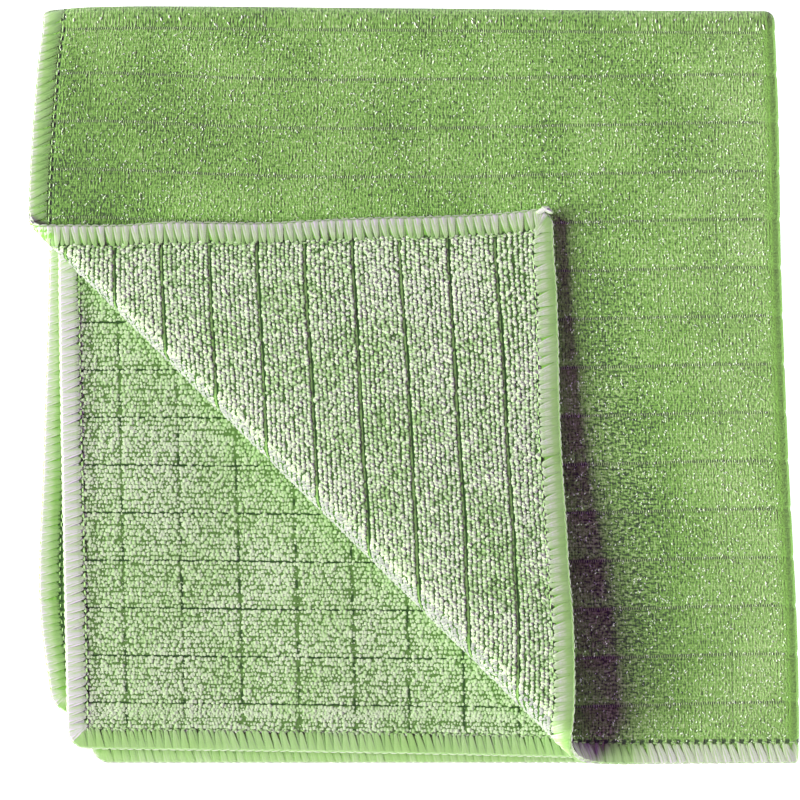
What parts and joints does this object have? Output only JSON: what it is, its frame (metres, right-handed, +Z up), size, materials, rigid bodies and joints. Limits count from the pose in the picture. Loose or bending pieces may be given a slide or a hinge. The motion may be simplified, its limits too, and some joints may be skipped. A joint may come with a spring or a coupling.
{
  "type": "folded microfibre cloth",
  "caption": "Square microfibre cloth folded in quarters, with one corner of its top layer turned back over a loose roll to show the ribbed pile; overlocked rim.",
  "frame": {"origin": "middle of the folded cloth's outline, on the surface that it lies on", "axes": "+Z up through the layers; +X from the free left rims to the first fold; +Y from the free lower rims to the second fold"},
  "size_m": [0.208, 0.204, 0.0212],
  "materials": {
    "green_microfibre": "matte"
  },
  "bodies": {
    "root": {"folded_cloth": "green_microfibre"}
  },
  "joints": []
}
